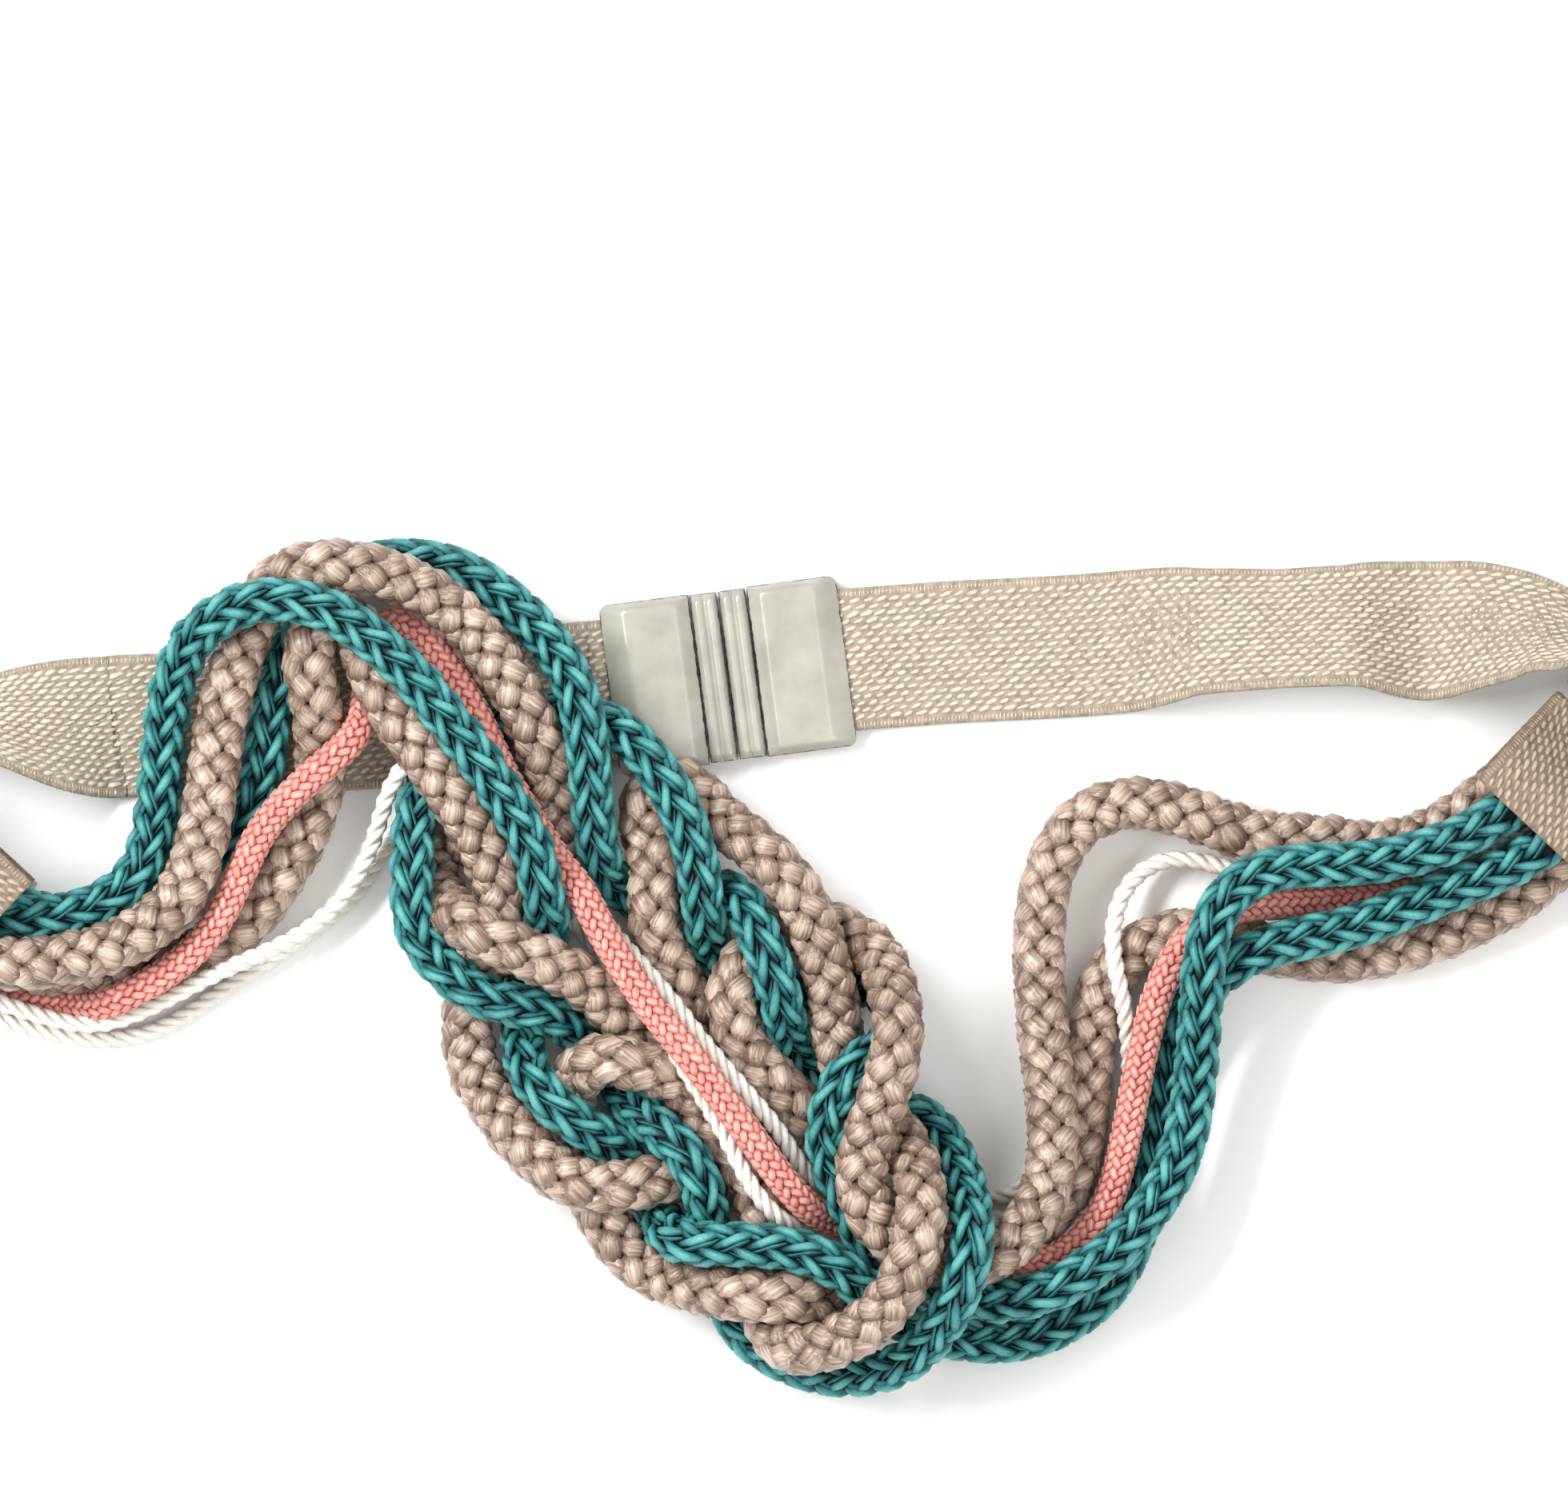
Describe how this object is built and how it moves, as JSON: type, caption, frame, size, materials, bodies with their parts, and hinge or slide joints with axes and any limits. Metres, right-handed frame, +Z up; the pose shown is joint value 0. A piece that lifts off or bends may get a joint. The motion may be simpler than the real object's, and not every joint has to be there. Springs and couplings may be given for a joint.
{
  "type": "rope belt",
  "caption": "Rope belt of soft cords tied in a chain knot at the front, with elastic straps joined by a fastened interlocking clasp at the back, lying flat.",
  "frame": {"origin": "underside of the clasp, in the middle of the web between its bars, where the belt rests on the table", "axes": "+X from the left tab to the right tab, +Y away from the knot towards the back strap, +Z up off the table"},
  "size_m": [0.3303, 0.1534, 0.039],
  "materials": {
    "teal_cord": "glossy corded yarn in a knitted tube",
    "taupe_cord": "satin braid",
    "pink_cord": "soft matt braid",
    "white_cord": "twisted cord, slight gloss",
    "elastic": "knitted elastic, matt, stained",
    "clasp_enamel": "glossy enamel, chipped at the edges"
  },
  "bodies": {
    "root": {"teal_cord_1": "teal_cord", "teal_cord_2": "teal_cord", "taupe_cord_1": "taupe_cord", "taupe_cord_2": "taupe_cord", "pink_cord": "pink_cord", "white_cord_1": "white_cord", "white_cord_2": "white_cord", "strap_right": "elastic", "strap_left": "elastic", "tab_right": "elastic", "tab_left": "elastic", "clasp_right_half": "clasp_enamel", "clasp_left_half": "clasp_enamel"}
  },
  "joints": []
}
